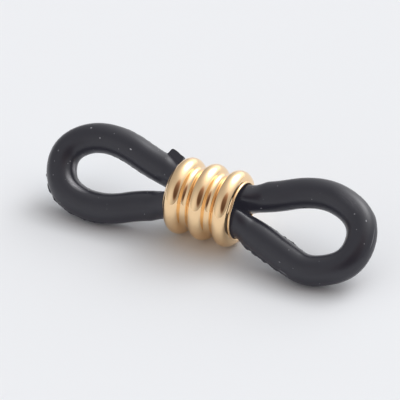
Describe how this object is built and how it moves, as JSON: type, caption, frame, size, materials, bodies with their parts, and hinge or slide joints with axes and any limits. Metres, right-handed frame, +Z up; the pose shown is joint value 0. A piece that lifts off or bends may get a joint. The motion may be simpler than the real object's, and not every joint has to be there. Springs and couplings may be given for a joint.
{
  "type": "eyeglass loop connector",
  "caption": "Soft rubber ring pinched into two loops by a sliding ribbed metal bead: one loop grips an eyeglass temple, the other takes a neck chain or cord.",
  "frame": {"origin": "on the surface it lies on, under the centre of the slide bead, which is also the middle of the connector", "axes": "+X along the bead's bore, through both loops; +Y across, level; +Z up from the surface. The loops' planes lean about the X axis, with their -Y sides down on the surface"},
  "size_m": [0.0231, 0.0061, 0.005],
  "materials": {
    "black_rubber": "satin moulded rubber with a soft sheen",
    "gold_plate": "polished light gold plating"
  },
  "bodies": {
    "ring": {"rubber_ring": "black_rubber"},
    "bead": {"slide_bead": "gold_plate"}
  },
  "joints": [
    {"name": "bead_slide", "type": "slide", "parent": "ring", "child": "bead", "axis": [1, 0, 0], "range_m": [-0.0035, 0.0035], "deforming": ["rubber_ring"]}
  ]
}
